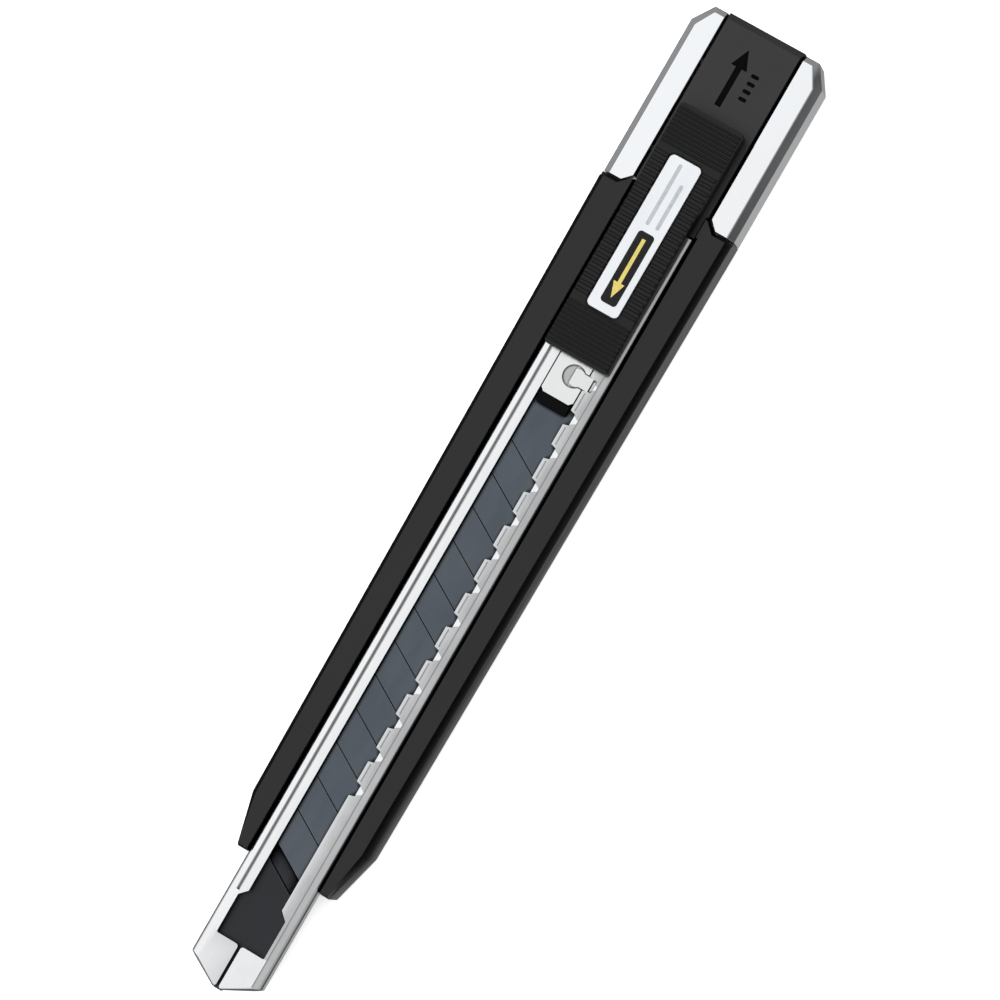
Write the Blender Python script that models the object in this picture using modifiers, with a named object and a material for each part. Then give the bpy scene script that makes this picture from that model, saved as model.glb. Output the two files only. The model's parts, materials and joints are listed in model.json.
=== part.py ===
"""Snap-off knife with a steel blade sheath, a multi-blade magazine and a pull-off tail cap.

Frame: +X runs along the knife towards the blade tip, +Y towards the cutting edge, +Z out of
the thumb side. The knife lies on its back on Z = 0, and the origin is under its middle.

The sizes below are millimetres. A station is a distance from the nose tip towards the tail, so
it runs against +X. at() turns a station, an across value and a height into metres.
"""

import math

import bmesh
import bpy
from mathutils import Matrix, Vector

MM = 0.001

# Whole knife
LENGTH = 142.0
FACE = 6.9                     # height of the sheath's upper face, the level that the rest hangs on

# Steel sheath
SHEATH_HALF = 5.3
SHEATH_DEPTH = 2.75
SHEATH_WALL = 0.45
SHEATH_REAR = 113.9
SHEATH_BEND = 0.4              # outer radius of the folded sheet
NOSE_FRONT = 0.42
NOSE_FLAT = 0.735              # half width of the blunt nose end
NOSE_SHOULDER = 2.73           # station where the pointed nose reaches its full width
NOSE_FLOOR_CUT = (0.8, 0.9)    # how far the lower sheet is cut back at the tip, along and half across
SLIT_HALF = 0.225
SLIT_FLARE = 0.4               # radius where the slit runs out into the window
WINDOW_FRONT = 6.4
WINDOW_REAR = 12.0
WINDOW_HALF = 3.6
WINDOW_CORNER = 0.25
LIP_START = 13.05
LEFT_LIP = -2.6
RIGHT_LIP = 2.48               # also the tips of the notched teeth
GROOVES = (-3.92, 4.04)        # across values of the left and right grooves
GROOVE_SIDE = 0.24             # side of the square bar whose corner presses the groove
GROOVE_START = 12.5
CREASE_START = 2.6             # the right groove runs on to the nose as a shallow crease
CREASE_DEPTH = 0.05
FLOOR_WINDOW = (22.5, 103.0)
FLOOR_WINDOW_HALF = 3.4

# Snap pitch, shared by the blade's score lines and the sheath's notches.
# The carrier slides twelve pitches forward, from the last notch to the first.
PITCH = 5.0
SNAP_SLOPE = math.tan(math.radians(30.0))
NOTCH_COUNT = 13
NOTCH_START = 30.2
NOTCH_GAP = 2.07
NOTCH_DEPTH = 0.74
NOTCH_FLARE = 0.22             # how much wider the notch's mouth is than its root, per side
FACET_NARROW = 0.28            # half width of a notch's pressed slope at its far end

# Blades
BLADE_HALF = 4.5
BLADE_THICK = 0.38
BLADE_LENGTH = 80.0
BLADE_TOP = FACE - 0.77
EDGE_BEVEL = 1.0
EDGE_THICK = 0.06
BLADE_TIP_MID = 18.79          # station of the blade's slanted end on the knife's centre line
SCORES = 12
SCORE_SIDE = 0.1
TANG_CORNER = 0.8
TANG_HOLE = 1.3
TANG_STATION = 91.6
SPARE_TIP_MID = 16.6
SPARE_GAP = 0.07
SPARES = 2

# Nose guide
GUIDE_TOP = FACE - 1.24
GUIDE_REAR_MID = 16.39
GUIDE_FRONT = 0.0              # the guide's tip stands out of the slit, and is the knife's front end
GUIDE_TIP_HALF = 0.6
GUIDE_INSET = 0.15             # how far the rest of it stays behind the sheath's slanted nose
GUIDE_FIT = 0.12
GUIDE_ROUND = 0.08

# Magazine spring
LEAF = (30.0, 96.0)
LEAF_THICK = 0.25
LEAF_HALF = 2.3
LEAF_STEPS = 24

# Handle body
RAIL_TOP = FACE + 0.9
RAIL_FRONT = 17.3
RAIL_SHOULDER = 24.4
RAIL_REAR = 115.9
RAIL_CORNER = 117.3            # station of the rear inner corners
FRONT_HALF = 6.95
SHOULDER_HALF = 8.8
REAR_HALF = 9.85
TOP_BEVEL = 0.75
TOP_BEVEL_DEPTH = 1.5
FRONT_BEVEL = 0.4
FRONT_SIDE_BEVEL = 0.12         # the side bevel narrows to this at the front corners
BACK_BEVEL = 0.8
RAIL_CORNER_ACROSS = 7.1
RAIL_CORNER_LAND = 0.2
CORNER_STEP = 0.4              # the rear corners stop this far under the trough's floor
LEDGE_REAR = 116.2             # the rails' rear ends slope back to here, and drop straight below
LEDGE_TOP = FACE - 0.4
TROUGH_HALF = 5.45
TROUGH_FLOOR = FACE - SHEATH_DEPTH - 0.05
CAVITY_HALF = 3.1
CAVITY = (22.0, 103.4)
COVER = (20.6, 104.8)
COVER_HALF = 6.4
COVER_THICK = 1.2
FIT = 0.12                     # gap left round a piece that sits in a recess
FAR = 5.0                      # how far a cutter reaches past the surface that it cuts

# Tail cap
CAP_FRONT = 114.2
CORE_HALF = 5.6
CORE_NECK_HALF = 5.38
CORE_NECK_REAR = 117.42
CORE_TOP = FACE - 0.1
CORE_END_BEVEL = 0.9
CORE_END_DEPTH = 0.8
CORE_SIDE_BEVEL = 0.2
FOOT_BEVEL = 0.35              # chamfer round the underside of the cap's pieces
PLUG_FRONT = 106.2
PLUG_HALF = 4.0
PLUG_Z = (1.0, 3.6)
PLUG_BORE_HALF = 2.6
PLUG_BORE_Z = (1.75, 2.85)
SOCKET_CLEAR = 0.15
SOCKET_DEPTH_SPARE = 0.5
CHEEK_FRONT = 116.3
CHEEK_INNER = 5.84
CHEEK_OUTER = 9.77
CHEEK_REAR = 141.85
CHEEK_TOP = FACE - 0.3
CHEEK_BEVEL = 0.95
CHEEK_BEVEL_DEPTH = 1.05
CHEEK_FRONT_CORNER = 1.2
CHEEK_CUT_ALONG = 2.9
CHEEK_CUT_ACROSS = 1.95
CHEEK_DIAGONAL_SHARE = 0.55    # how much of the bevel's width the cut corner draws in by
CHEEK_END_SHARE = 0.85
PEG_STATIONS = (122.0, 135.0)
PEG_RADIUS = 0.9
PEG_REACH = 1.9
PEG_ROOT = 0.4
PEG_CLEAR = 0.08
PEG_HEIGHT = 3.3

# Blade carrier
HOLDER_FRONT = 86.2
HOLDER_BAR = 1.3
HOLDER_HALF = 2.15
HOLDER_TONGUE_Z = (FACE - 0.73, FACE - 0.50)
HOLDER_BAR_TOP = FACE - 0.12
HOLDER_BLOCK = (96.9, 112.4)
HOLDER_BLOCK_HALF = 4.6
HOLDER_UNDERSIDE = FACE - 1.13 # just above the uppermost spare blade
HOLDER_NECK_START = 99.2
HOLDER_LEDGE = (93.8, 98.4)    # the stop that the pawl's spring pushes against
HOLDER_LEDGE_EDGE = -1.35
HOLDER_PEG = 1.12
PLATE_SEAT = 0.05              # gap under the steel plate
PLATE_FRONT = 87.6
PLATE_REAR = 111.6
PLATE_Z = (FACE - 0.22, FACE + 0.08)
PLATE_SIDE = (-2.48, 2.36)
PLATE_CORNER = 0.5
WINDOW_CENTRE = (91.24, 0.65)
WINDOW_RADIUS = 1.55
CAM_SLOT = ((95.4, 98.9), (-0.4, 2.0))
RIVETS = (100.7, 109.4)
RIVET_RADIUS = 0.9
RIVET_HEAD = 0.35              # how far the head stands out round the shank
RIVET_CLEAR = 0.08

# Lock pawl. It draws in 0.8 mm, out of its notch, as the button moves 0.8 mm along the knife.
PAWL_TOP = FACE - 0.02
PAWL_BASE_Z = (FACE - 0.46, FACE - 0.26)
PAWL_HEAD = 1.2
PAWL_HEAD_ACROSS = 1.0
PAWL_HEAD_FLAT = 0.4
PAWL_FINGER_HALF = 0.93
PAWL_FINGER_END = 3.1
PAWL_WING = (1.75, (-0.95, 2.0))
TAIL_SIDE = (0.55, 1.55)
TAIL_END = 97.5
POST_GAP = 0.2                 # play between the pawl's cam face and the button's post, along X + Y
POST_REAR = 98.05
POST_REACH = 1.75
BOW_MIDDLE = 95.9
BOW_REACH = 1.9
BOW_FOOT = -1.2
BOW_CROWN = 0.4
BOW_THICK = 0.14

# Thumb button
BUTTON = (93.2, 128.7)
BUTTON_HALF = 4.62
BUTTON_Z = (FACE + 0.3, FACE + 3.2)
BUTTON_ROOF = 1.1
BUTTON_WALL = 1.0
BUTTON_CORNER = 0.45
LEG = (103.4, 104.8)
LEG_HALF = 0.9
LEG_FOOT_HALF = 1.5
LEG_FOOT_Z = (FACE - 0.95, FACE - 0.4)
LEG_SLOT_HALF = 1.1
LEG_SLOT = (102.2, 105.2)
LEG_POCKET = (101.8, 106.2)
LABEL = (100.05, 122.25)
LABEL_HALF = 2.3
LABEL_CORNER = 0.7
LABEL_SINK = 0.25
LABEL_PROUD = 0.02
LABEL_FIT = 0.06

COLOURS = {
    "black_plastic": ((0.032, 0.032, 0.033), 0.45, 0.0),
    "black_ribbed": ((0.018, 0.019, 0.019), 0.5, 0.0),
    "black_inner": ((0.026, 0.027, 0.029), 0.5, 0.0),
    "bright_steel": ((0.75, 0.76, 0.78), 0.22, 1.0),
    "spring_steel": ((0.55, 0.56, 0.58), 0.3, 1.0),
    "blade_steel": ((0.09, 0.105, 0.125), 0.32, 1.0),
    "silver_plated": ((0.86, 0.88, 0.9), 0.18, 1.0),
    "label_white": ((0.84, 0.86, 0.87), 0.35, 0.0),
}

knife = None
cutters = None
frames = {}


def clear_scene():
    """Remove every object that is in the file, and set up the two collections."""
    global knife, cutters
    for old in list(bpy.data.objects):
        bpy.data.objects.remove(old, do_unlink=True)
    knife = bpy.data.collections.new("snap_off_knife")
    cutters = bpy.data.collections.new("cutters")
    bpy.context.scene.collection.children.link(knife)
    bpy.context.scene.collection.children.link(cutters)


def at(station, across, height):
    """The world point in metres at a station, an across value and a height in millimetres."""
    return Vector(((LENGTH / 2 - station) * MM, across * MM, height * MM))


def material(slot):
    """One Principled material for each colour name, made when it is first asked for."""
    found = bpy.data.materials.get(slot)
    if found:
        return found
    colour, roughness, metallic = COLOURS[slot]
    made = bpy.data.materials.new(slot)
    made.use_nodes = True
    shader = made.node_tree.nodes["Principled BSDF"]
    shader.inputs["Base Color"].default_value = (*colour, 1.0)
    shader.inputs["Roughness"].default_value = roughness
    shader.inputs["Metallic"].default_value = metallic
    made.diffuse_color = (*colour, 1.0)
    return made


def object_from(name, mesh):
    """A cutter object that holds the mesh. part() moves it to the knife's own collection."""
    made = bpy.data.objects.new(name, mesh)
    made.hide_render = True
    made.display_type = "WIRE"
    cutters.objects.link(made)
    return made


def part(name, shape, slot, frame=None):
    """Turn a shape into a named sub-part with a material, carried by one of the joint frames."""
    shape.name = name
    shape.data.name = name
    shape.hide_render = False
    shape.display_type = "TEXTURED"
    cutters.objects.unlink(shape)
    knife.objects.link(shape)
    shape.data.materials.clear()
    shape.data.materials.append(material(slot))
    if frame:
        origin = frames[frame].location
        shape.data.transform(Matrix.Translation(-origin))
        shape.parent = frames[frame]
    return shape


def joint_frame(name, point):
    """An empty at a joint, which its moving pieces are parented to."""
    empty = bpy.data.objects.new(name, None)
    empty.empty_display_size = 0.004
    empty.location = point
    knife.objects.link(empty)
    frames[name] = empty
    return empty


def box(stations, acrosses, heights):
    """A box between two stations, two across values and two heights."""
    low, high = at(stations[1], acrosses[0], heights[0]), at(stations[0], acrosses[1], heights[1])
    shell = bmesh.new()
    bmesh.ops.create_cube(shell, size=1.0)
    bmesh.ops.scale(shell, vec=high - low, verts=shell.verts)
    bmesh.ops.translate(shell, vec=(high + low) / 2, verts=shell.verts)
    mesh = bpy.data.meshes.new("box")
    shell.to_mesh(mesh)
    shell.free()
    return object_from("box", mesh)


def disc(station, across, heights, radius, sides=32):
    """An upright cylinder."""
    shell = bmesh.new()
    bmesh.ops.create_cone(
        shell,
        cap_ends=True,
        segments=sides,
        radius1=radius * MM,
        radius2=radius * MM,
        depth=(heights[1] - heights[0]) * MM,
    )
    bmesh.ops.translate(shell, vec=at(station, across, sum(heights) / 2), verts=shell.verts)
    mesh = bpy.data.meshes.new("disc")
    shell.to_mesh(mesh)
    shell.free()
    mesh.shade_smooth()
    mesh.set_sharp_from_angle(angle=math.radians(40))
    return object_from("disc", mesh)


def plate(outline, heights):
    """A flat plate: a filled 2D curve through (station, across) points, extruded between two heights."""
    curve = bpy.data.curves.new("outline", "CURVE")
    curve.dimensions = "2D"
    curve.fill_mode = "BOTH"
    curve.extrude = (heights[1] - heights[0]) * MM / 2
    spline = curve.splines.new("POLY")
    spline.points.add(len(outline) - 1)
    spline.use_cyclic_u = True
    for point, (station, across) in zip(spline.points, outline):
        place = at(station, across, 0)
        point.co = (place.x, place.y, 0.0, 1.0)
    drawn = bpy.data.objects.new("outline", curve)
    cutters.objects.link(drawn)
    bpy.context.view_layer.update()
    mesh = bpy.data.meshes.new_from_object(drawn.evaluated_get(bpy.context.evaluated_depsgraph_get()))
    bpy.data.objects.remove(drawn, do_unlink=True)
    bpy.data.curves.remove(curve)
    shell = bmesh.new()
    shell.from_mesh(mesh)
    bmesh.ops.remove_doubles(shell, verts=shell.verts, dist=1e-6)
    bmesh.ops.dissolve_limit(
        shell, angle_limit=math.radians(0.5), verts=shell.verts, edges=shell.edges
    )
    bmesh.ops.translate(shell, vec=(0, 0, sum(heights) * MM / 2), verts=shell.verts)
    bmesh.ops.recalc_face_normals(shell, faces=shell.faces)
    shell.to_mesh(mesh)
    shell.free()
    return object_from("plate", mesh)


def stack(layers):
    """A loft through outlines with equal point counts, given as (height, outline) from the bottom up."""
    shell = bmesh.new()
    rings = [[shell.verts.new(at(s, y, height)) for s, y in outline] for height, outline in layers]
    for lower, upper in zip(rings, rings[1:]):
        for i, corner in enumerate(lower):
            following = (i + 1) % len(lower)
            shell.faces.new((corner, lower[following], upper[following], upper[i]))
    shell.faces.new(rings[0])
    shell.faces.new(rings[-1])
    bmesh.ops.recalc_face_normals(shell, faces=shell.faces)
    mesh = bpy.data.meshes.new("stack")
    shell.to_mesh(mesh)
    shell.free()
    return object_from("stack", mesh)


def boolean(target, other, operation):
    """Cut a shape from the target, or join it to the target."""
    modifier = target.modifiers.new(operation.lower(), "BOOLEAN")
    modifier.operation = operation
    modifier.solver = "EXACT"
    modifier.object = other


def cut(target, *others):
    for other in others:
        boolean(target, other, "DIFFERENCE")


def join(target, *others):
    for other in others:
        boolean(target, other, "UNION")


def soften(target, width, segments=1):
    """Round or chamfer every edge that is sharper than 30 degrees."""
    modifier = target.modifiers.new("bevel", "BEVEL")
    modifier.width = width * MM
    modifier.segments = segments
    modifier.limit_method = "ANGLE"
    modifier.angle_limit = math.radians(30)


def merged(shapes):
    """One cutter made of several separate shapes."""
    first = shapes[0]
    shell = bmesh.new()
    for shape in shapes:
        shell.from_mesh(shape.data)
    shell.to_mesh(first.data)
    shell.free()
    for shape in shapes[1:]:
        bpy.data.objects.remove(shape, do_unlink=True)
    return first


def mirrored(outline):
    """The outline on the other side of the centre line, running the other way round."""
    return [(s, -y) for s, y in reversed(outline)]


def arc(centre, radius, start, end, steps):
    """Points along an arc in the station and across plane, angles in degrees."""
    points = []
    for i in range(steps + 1):
        angle = math.radians(start + (end - start) * i / steps)
        points.append((centre[0] + radius * math.cos(angle), centre[1] + radius * math.sin(angle)))
    return points


def rounded(stations, acrosses, radius, steps=4):
    """A rectangle with round corners."""
    s0, s1 = stations[0] + radius, stations[1] - radius
    y0, y1 = acrosses[0] + radius, acrosses[1] - radius
    corners = (((s1, y1), 0), ((s0, y1), 90), ((s0, y0), 180), ((s1, y0), 270))
    return [p for centre, turn in corners for p in arc(centre, radius, turn, turn + 90, steps)]


def slanted(mid, across):
    """Station of a blade's slanted end at an across value."""
    return mid - SNAP_SLOPE * across


# ---------------------------------------------------------------- handle

def handle_outline(inset, end_inset, front_inset):
    """Half of the handle's plan, from the middle of the front end round to the rear."""
    return [
        (RAIL_FRONT + end_inset, 0.0),
        (RAIL_FRONT + end_inset, FRONT_HALF - front_inset),
        (RAIL_SHOULDER, SHOULDER_HALF - inset),
        (RAIL_CORNER, REAR_HALF - inset),
        (RAIL_CORNER, 0.0),
    ]


def whole(half):
    """A closed outline from its half, whose first and last points are on the centre line."""
    return half + mirrored(half)[1:-1]


def make_handle_body():
    side = BACK_BEVEL
    body = stack([
        (0.0, whole(handle_outline(side, side, side))),
        (side, whole(handle_outline(0.0, 0.0, 0.0))),
        (RAIL_TOP - TOP_BEVEL_DEPTH, whole(handle_outline(0.0, 0.0, 0.0))),
        (RAIL_TOP, whole(handle_outline(TOP_BEVEL, FRONT_BEVEL, FRONT_SIDE_BEVEL))),
    ])
    trough = box((0, LENGTH), (-TROUGH_HALF, TROUGH_HALF), (TROUGH_FLOOR, FACE + FAR))
    cavity = box(CAVITY, (-CAVITY_HALF, CAVITY_HALF), (-FAR, FACE))
    cover_seat = box(COVER, (-COVER_HALF, COVER_HALF), (-FAR, COVER_THICK + FIT))
    socket_front = PLUG_FRONT - SOCKET_DEPTH_SPARE
    plug_half = PLUG_HALF + SOCKET_CLEAR
    socket = box(
        (socket_front, LENGTH),
        (-plug_half, plug_half),
        (PLUG_Z[0] - SOCKET_CLEAR, PLUG_Z[1] + SOCKET_CLEAR),
    )
    inner = TROUGH_HALF + RAIL_CORNER_LAND
    end = RAIL_CORNER + FAR
    below = box(
        (LEDGE_REAR, end),
        (-RAIL_CORNER_ACROSS, RAIL_CORNER_ACROSS),
        (-FAR, TROUGH_FLOOR - CORNER_STEP),
    )
    cut(body, trough, cavity, cover_seat, socket, below)
    for turn in (list, mirrored):
        rings = []
        for height, start in ((-FAR, LEDGE_REAR), (LEDGE_TOP, LEDGE_REAR), (RAIL_TOP, RAIL_REAR)):
            rings.append((height, turn([
                (start, REAR_HALF + FAR),
                (start, RAIL_CORNER_ACROSS),
                (RAIL_CORNER, inner),
                (end, inner),
                (end, REAR_HALF + FAR),
            ])))
        rings.append((RAIL_TOP + FAR, rings[-1][1]))
        cut(body, stack(rings))
    return part("handle_body", body, "black_plastic")


def make_back_cover():
    stations = (COVER[0] + FIT, COVER[1] - FIT)
    half = COVER_HALF - FIT
    cover = box(stations, (-half, half), (0.0, COVER_THICK))
    soften(cover, 0.15)
    return part("back_cover", cover, "black_plastic")


# ---------------------------------------------------------------- sheath

def sheath_outline():
    side = [(NOSE_FRONT, NOSE_FLAT), (NOSE_SHOULDER, SHEATH_HALF), (SHEATH_REAR, SHEATH_HALF)]
    return side + mirrored(side)


def right_lip():
    """The notched lip's edge, from the front to the rear."""
    points = [(LIP_START, RIGHT_LIP)]
    for i in range(NOTCH_COUNT):
        start = NOTCH_START + PITCH * i
        end = start + NOTCH_GAP
        root = RIGHT_LIP + NOTCH_DEPTH
        points += [(start, RIGHT_LIP), (start + NOTCH_FLARE, root)]
        points += [(end - NOTCH_FLARE, root), (end, RIGHT_LIP)]
    return points


def sheath_opening():
    """Plan of the slit, the window and the slot between the lips."""
    flare, corner = SLIT_FLARE, WINDOW_CORNER
    right = [(-FAR, SLIT_HALF)]
    right += arc((WINDOW_FRONT - flare, SLIT_HALF + flare), flare, -90, 0, 4)
    right += arc((WINDOW_FRONT + corner, WINDOW_HALF - corner), corner, 180, 90, 3)
    right += [(WINDOW_REAR, WINDOW_HALF)]
    end = SHEATH_REAR + FAR
    lips = right_lip() + [(end, RIGHT_LIP), (end, LEFT_LIP), (LIP_START, LEFT_LIP)]
    return right + lips + mirrored(right)


def notch_facets():
    """The slope pressed behind each notch, which narrows towards the groove."""
    root = RIGHT_LIP + NOTCH_DEPTH - 0.05
    end = GROOVES[1] - 0.12
    wedges = []
    for i in range(NOTCH_COUNT):
        middle = NOTCH_START + PITCH * i + NOTCH_GAP / 2
        wide = NOTCH_GAP / 2 - NOTCH_FLARE
        low = [(middle - wide, root), (middle + wide, root)]
        high = [(middle + FACET_NARROW, end), (middle - FACET_NARROW, end)]
        wedge = stack([(FACE - 0.4, low + high), (FACE + 0.5, low + high)])
        for corner in wedge.data.vertices:
            if corner.co.y > (root + 0.1) * MM and corner.co.z < FACE * MM:
                corner.co.z = (FACE + 0.01) * MM
        wedges.append(wedge)
    return merged(wedges)


def groove(across, start, end, depth):
    """A V groove along one lip: a square bar laid on its corner, sunk so that it cuts this deep."""
    half = GROOVE_SIDE / 2
    bar = box((start, end), (-half, half), (-half, half))
    bar.data.transform(Matrix.Rotation(math.radians(45), 4, "X"))
    lift = half * math.sqrt(2) - depth
    bar.data.transform(Matrix.Translation((0, across * MM, (FACE + lift) * MM)))
    return bar


def make_sheath():
    sheath = plate(sheath_outline(), (FACE - SHEATH_DEPTH, FACE))
    soften(sheath, SHEATH_BEND, 4)
    bottom = FACE - SHEATH_DEPTH
    inner = SHEATH_HALF - SHEATH_WALL
    hollow = box((-FAR, SHEATH_REAR + FAR), (-inner, inner), (bottom + SHEATH_WALL, FACE - SHEATH_WALL))
    floor_half = FLOOR_WINDOW_HALF
    floor = box(FLOOR_WINDOW, (-floor_half, floor_half), (bottom - FAR, bottom + 2 * SHEATH_WALL))
    back, side = NOSE_FLOOR_CUT
    tip = box((-FAR, back), (-side, side), (bottom - FAR, bottom + 2 * SHEATH_WALL))
    opening = plate(sheath_opening(), (FACE - 2 * SHEATH_WALL, FACE + FAR))
    full_depth = GROOVE_SIDE / math.sqrt(2)
    grooves = [groove(across, GROOVE_START, SHEATH_REAR + FAR, full_depth) for across in GROOVES]
    crease = groove(GROOVES[1], CREASE_START, GROOVE_START + 1, CREASE_DEPTH)
    cut(sheath, hollow, floor, tip, opening, notch_facets(), merged(grooves), crease)
    return part("blade_sheath", sheath, "bright_steel")


def make_nose_guide():
    """The floor that the blade slides over at the nose, cut at the rear to the blades' slant."""
    half = SHEATH_HALF - SHEATH_WALL - GUIDE_FIT
    slope = (NOSE_SHOULDER - NOSE_FRONT) / (SHEATH_HALF - NOSE_FLAT)
    neck = NOSE_FRONT + GUIDE_INSET
    shoulder = neck + (half - GUIDE_TIP_HALF) * slope
    outline = [
        (GUIDE_FRONT, -GUIDE_TIP_HALF),
        (GUIDE_FRONT, GUIDE_TIP_HALF),
        (neck, GUIDE_TIP_HALF),
        (shoulder, half),
        (slanted(GUIDE_REAR_MID, half), half),
        (slanted(GUIDE_REAR_MID, -half), -half),
        (shoulder, -half),
        (neck, -GUIDE_TIP_HALF),
    ]
    guide = plate(outline, (FACE - SHEATH_DEPTH + SHEATH_WALL + 0.04, GUIDE_TOP))
    soften(guide, GUIDE_ROUND)
    return part("nose_guide", guide, "black_inner")


def make_magazine_spring():
    """A bowed leaf in the handle's cavity that lifts the spare blades."""
    front, rear = LEAF
    low = COVER_THICK + LEAF_THICK + FIT
    high = BLADE_TOP - BLADE_THICK - SPARES * (BLADE_THICK + SPARE_GAP) - FIT
    upper = []
    for i in range(LEAF_STEPS + 1):
        t = i / LEAF_STEPS
        upper.append((front + (rear - front) * t, low + (high - low) * math.sin(math.pi * t)))
    lower = [(s, z - LEAF_THICK) for s, z in reversed(upper)]
    leaf = plate(upper + lower, (-LEAF_HALF, LEAF_HALF))
    leaf.data.transform(Matrix.Rotation(math.radians(90), 4, "X"))
    return part("magazine_spring", leaf, "spring_steel")


# ---------------------------------------------------------------- blades

def blade_blank(mid, top):
    """A flat parallel blank with a slanted front end and cut corners at the tang."""
    rear = slanted(mid, BLADE_HALF) + BLADE_LENGTH
    corner = TANG_CORNER
    outline = [
        (slanted(mid, -BLADE_HALF), -BLADE_HALF),
        (slanted(mid, BLADE_HALF), BLADE_HALF),
        (rear - corner, BLADE_HALF),
        (rear, BLADE_HALF - corner),
        (rear, -BLADE_HALF + corner),
        (rear - corner, -BLADE_HALF),
    ]
    return plate(outline, (top - BLADE_THICK, top))


def edge_cutters(top):
    """Two long wedges that grind the cutting edge from both faces."""
    bottom = top - BLADE_THICK
    centre = (top + bottom) / 2
    slope = math.atan2((BLADE_THICK - EDGE_THICK) / 2, EDGE_BEVEL)
    wedges = []
    for side in (-1, 1):
        wedge = box((-5, LENGTH), (-1.5, 1.5), (-0.5, 0.5))
        wedge.data.transform(Matrix.Translation((0, 0, side * 0.5 * MM)))
        wedge.data.transform(Matrix.Rotation(-side * slope, 4, "X"))
        face = centre + side * EDGE_THICK / 2
        wedge.data.transform(Matrix.Translation((0, BLADE_HALF * MM, face * MM)))
        wedges.append(wedge)
    return wedges


def score_lines(mid, top):
    """The slanted scores between segments, pressed into the blade's upper face."""
    lines = []
    angle = math.radians(30)
    for i in range(1, SCORES + 1):
        reach = SCORE_SIDE / 2
        line = box((LENGTH / 2 - reach, LENGTH / 2 + reach), (-6.0, 6.0), (-reach, reach))
        line.data.transform(Matrix.Rotation(math.radians(45), 4, "Y"))
        line.data.transform(Matrix.Rotation(-angle, 4, "Z"))
        line.data.transform(Matrix.Translation(at(mid + PITCH * i, 0, top)))
        lines.append(line)
    return merged(lines)


def make_blade(name, mid, top, frame=None):
    blade = blade_blank(mid, top)
    hole = TANG_STATION + mid - BLADE_TIP_MID
    cut(blade, *edge_cutters(top), score_lines(mid, top))
    cut(blade, disc(hole, 0.0, (top - 1, top + 1), TANG_HOLE, 24))
    return part(name, blade, "blade_steel", frame)


# ---------------------------------------------------------------- blade carrier

def make_blade_holder():
    """The plastic block that carries the tang: a thin tongue over it, a peg through it, a block behind."""
    half = HOLDER_HALF
    tongue_low, tongue_high = HOLDER_TONGUE_Z
    under_plate = PLATE_Z[0] - PLATE_SEAT
    tongue = box((HOLDER_FRONT, HOLDER_BLOCK[0] + 1), (-half, half), HOLDER_TONGUE_Z)
    bar = box((HOLDER_FRONT, HOLDER_FRONT + HOLDER_BAR), (-half, half), (tongue_low, HOLDER_BAR_TOP))
    block_z = (HOLDER_UNDERSIDE, tongue_high - 0.02)
    block = box(HOLDER_BLOCK, (-HOLDER_BLOCK_HALF, HOLDER_BLOCK_HALF), block_z)
    neck_side = (PLATE_SIDE[0] + 0.06, PLATE_SIDE[1] - 0.06)
    neck = box((HOLDER_NECK_START, HOLDER_BLOCK[1]), neck_side, (HOLDER_UNDERSIDE + 0.1, under_plate))
    ledge = box(HOLDER_LEDGE, (-half, HOLDER_LEDGE_EDGE), (tongue_low, under_plate))
    peg = disc(TANG_STATION, 0.0, (BLADE_TOP - BLADE_THICK + 0.03, tongue_high - 0.1), HOLDER_PEG, 24)
    join(tongue, bar, block, neck, ledge, peg)
    foot = LEG_FOOT_HALF + 0.2
    pocket = box(LEG_POCKET, (-foot, foot), (FACE - FAR, FACE))
    bore = RIVET_RADIUS + RIVET_CLEAR
    bores = [disc(s, 0.0, (FACE - FAR, FACE + 1), bore, 20) for s in RIVETS]
    cut(tongue, pocket, merged(bores))
    return part("blade_holder", tongue, "black_inner", "carrier_frame")


def make_carrier_plate():
    left, right = PLATE_SIDE
    corner = PLATE_CORNER
    outline = [
        (PLATE_FRONT, left + corner),
        (PLATE_FRONT, right - corner),
        (PLATE_FRONT + corner, right),
        (PLATE_REAR, right),
        (PLATE_REAR, left),
        (PLATE_FRONT + corner, left),
    ]
    steel = plate(outline, PLATE_Z)
    soften(steel, 0.06)
    tall = (FACE - 1, FACE + 1)
    middle = WINDOW_CENTRE[0]
    window = disc(*WINDOW_CENTRE, tall, WINDOW_RADIUS, 40)
    side = PAWL_FINGER_HALF + 0.12
    finger_way = box((middle - side, middle + side), (PAWL_HEAD_ACROSS + 0.2, right + 1), tall)
    cam_slot = box(*CAM_SLOT, tall)
    leg_slot = box(LEG_SLOT, (-LEG_SLOT_HALF, LEG_SLOT_HALF), tall)
    bores = [disc(s, 0.0, tall, RIVET_RADIUS + RIVET_CLEAR, 20) for s in RIVETS]
    cut(steel, window, finger_way, merged([cam_slot, leg_slot, *bores]))
    return part("carrier_plate", steel, "bright_steel", "carrier_frame")


def make_carrier_rivets():
    head_z = (PLATE_Z[1] + 0.04, PLATE_Z[1] + 0.18)
    for name, station in zip(("carrier_rivet_front", "carrier_rivet_rear"), RIVETS):
        shank = disc(station, 0.0, (HOLDER_UNDERSIDE + 0.03, sum(head_z) / 2), RIVET_RADIUS, 20)
        head = disc(station, 0.0, head_z, RIVET_RADIUS + RIVET_HEAD, 20)
        join(shank, head)
        part(name, shank, "spring_steel", "carrier_frame")


# ---------------------------------------------------------------- lock

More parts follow.
